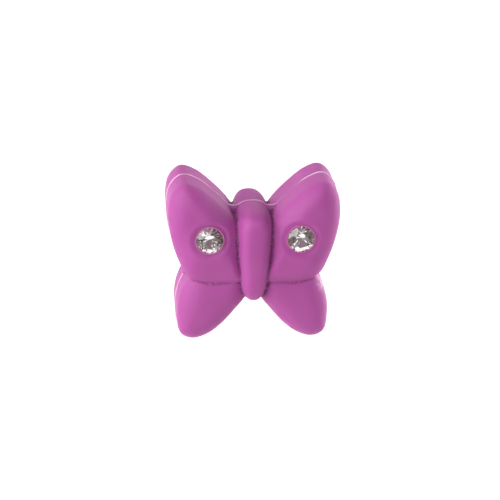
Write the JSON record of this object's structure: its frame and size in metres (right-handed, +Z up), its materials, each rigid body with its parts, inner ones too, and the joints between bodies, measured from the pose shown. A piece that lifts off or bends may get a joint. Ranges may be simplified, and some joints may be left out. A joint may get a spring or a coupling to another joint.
{
  "type": "silicone motif bead",
  "caption": "Butterfly-shaped silicone bead for a pacifier chain, threaded crosswise on a cord, with a round faceted crystal set in each upper wing.",
  "frame": {"origin": "midway between the two lower wing tips, on the plane they stand on", "axes": "+Z up along the torso from tail to head, +X towards the right wings seen from the front, the crystal side faces -Y"},
  "size_m": [0.025, 0.0148, 0.0242],
  "materials": {
    "silicone": "orchid pink silicone rubber with a velvety matt moulded skin, a little translucent",
    "crystal": "colourless polished crystal with crisp brilliant-cut facets",
    "adhesive": "clear cured adhesive with a pale satin rim"
  },
  "bodies": {
    "root": {"butterfly_body": "silicone", "left_crystal": "crystal", "right_crystal": "crystal", "left_crystal_adhesive": "adhesive", "right_crystal_adhesive": "adhesive"}
  },
  "joints": []
}
